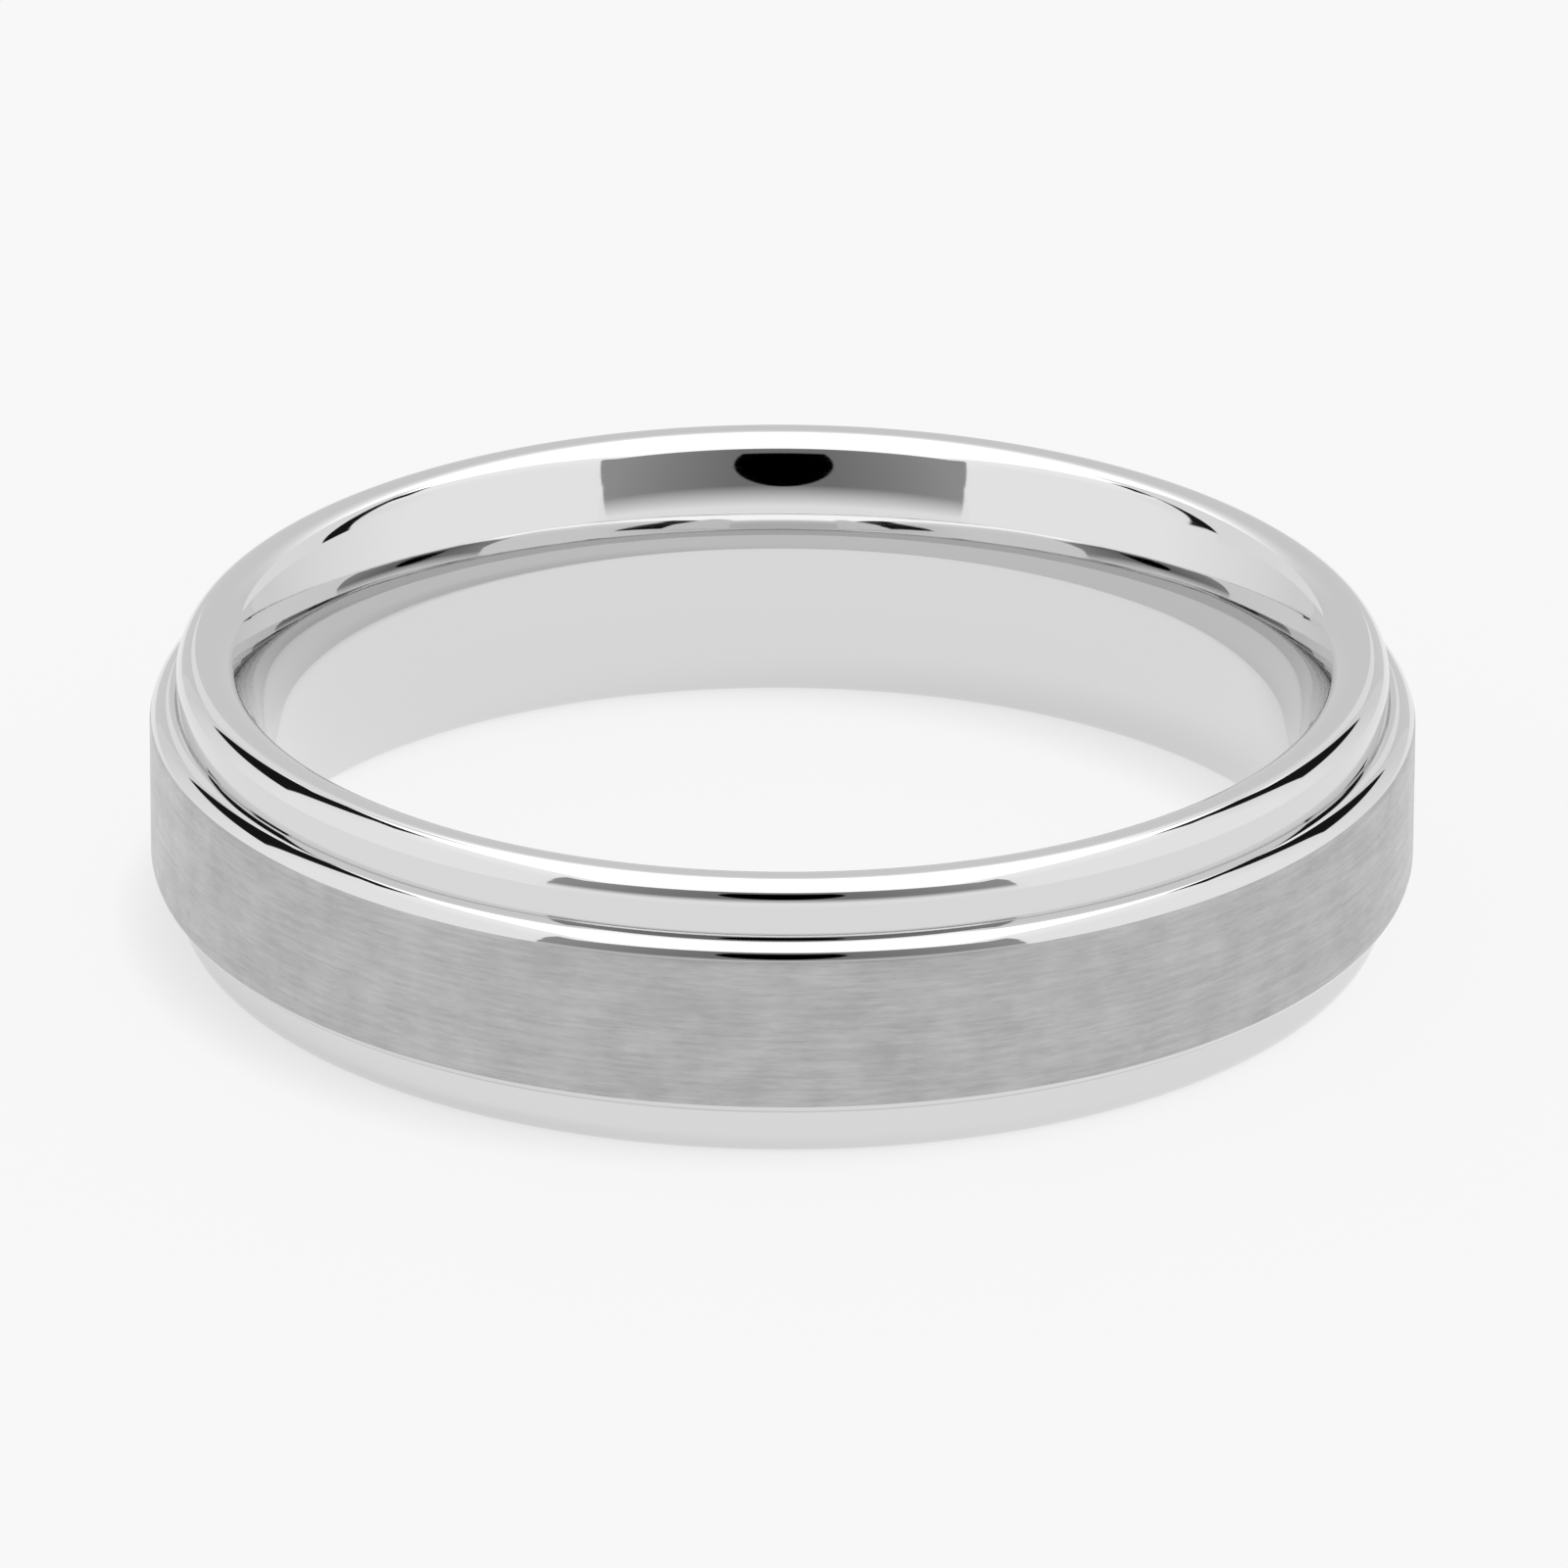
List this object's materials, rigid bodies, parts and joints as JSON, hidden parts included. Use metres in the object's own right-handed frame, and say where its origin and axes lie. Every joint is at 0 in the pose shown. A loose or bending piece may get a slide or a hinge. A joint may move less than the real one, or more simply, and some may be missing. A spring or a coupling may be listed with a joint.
{
  "type": "wedding band",
  "caption": "Plain comfort-fit wedding band: domed bore, polished rims stepped below a brushed raised centre band. Worn on a finger.",
  "frame": {"origin": "on the ring's axis, in the plane of the lower rim's flat, which the ring stands on when it lies on its side", "axes": "+Z along the finger hole, away from the surface the ring lies on; X and Y across the ring"},
  "size_m": [0.022, 0.022, 0.005],
  "materials": {
    "polished_white_metal": "mirror polished white gold",
    "brushed_white_metal": "face brushed round the ring, shoulders mirror polished, white gold"
  },
  "bodies": {
    "root": {"comfort_fit_sleeve": "polished_white_metal", "centre_band": "brushed_white_metal"}
  },
  "joints": []
}
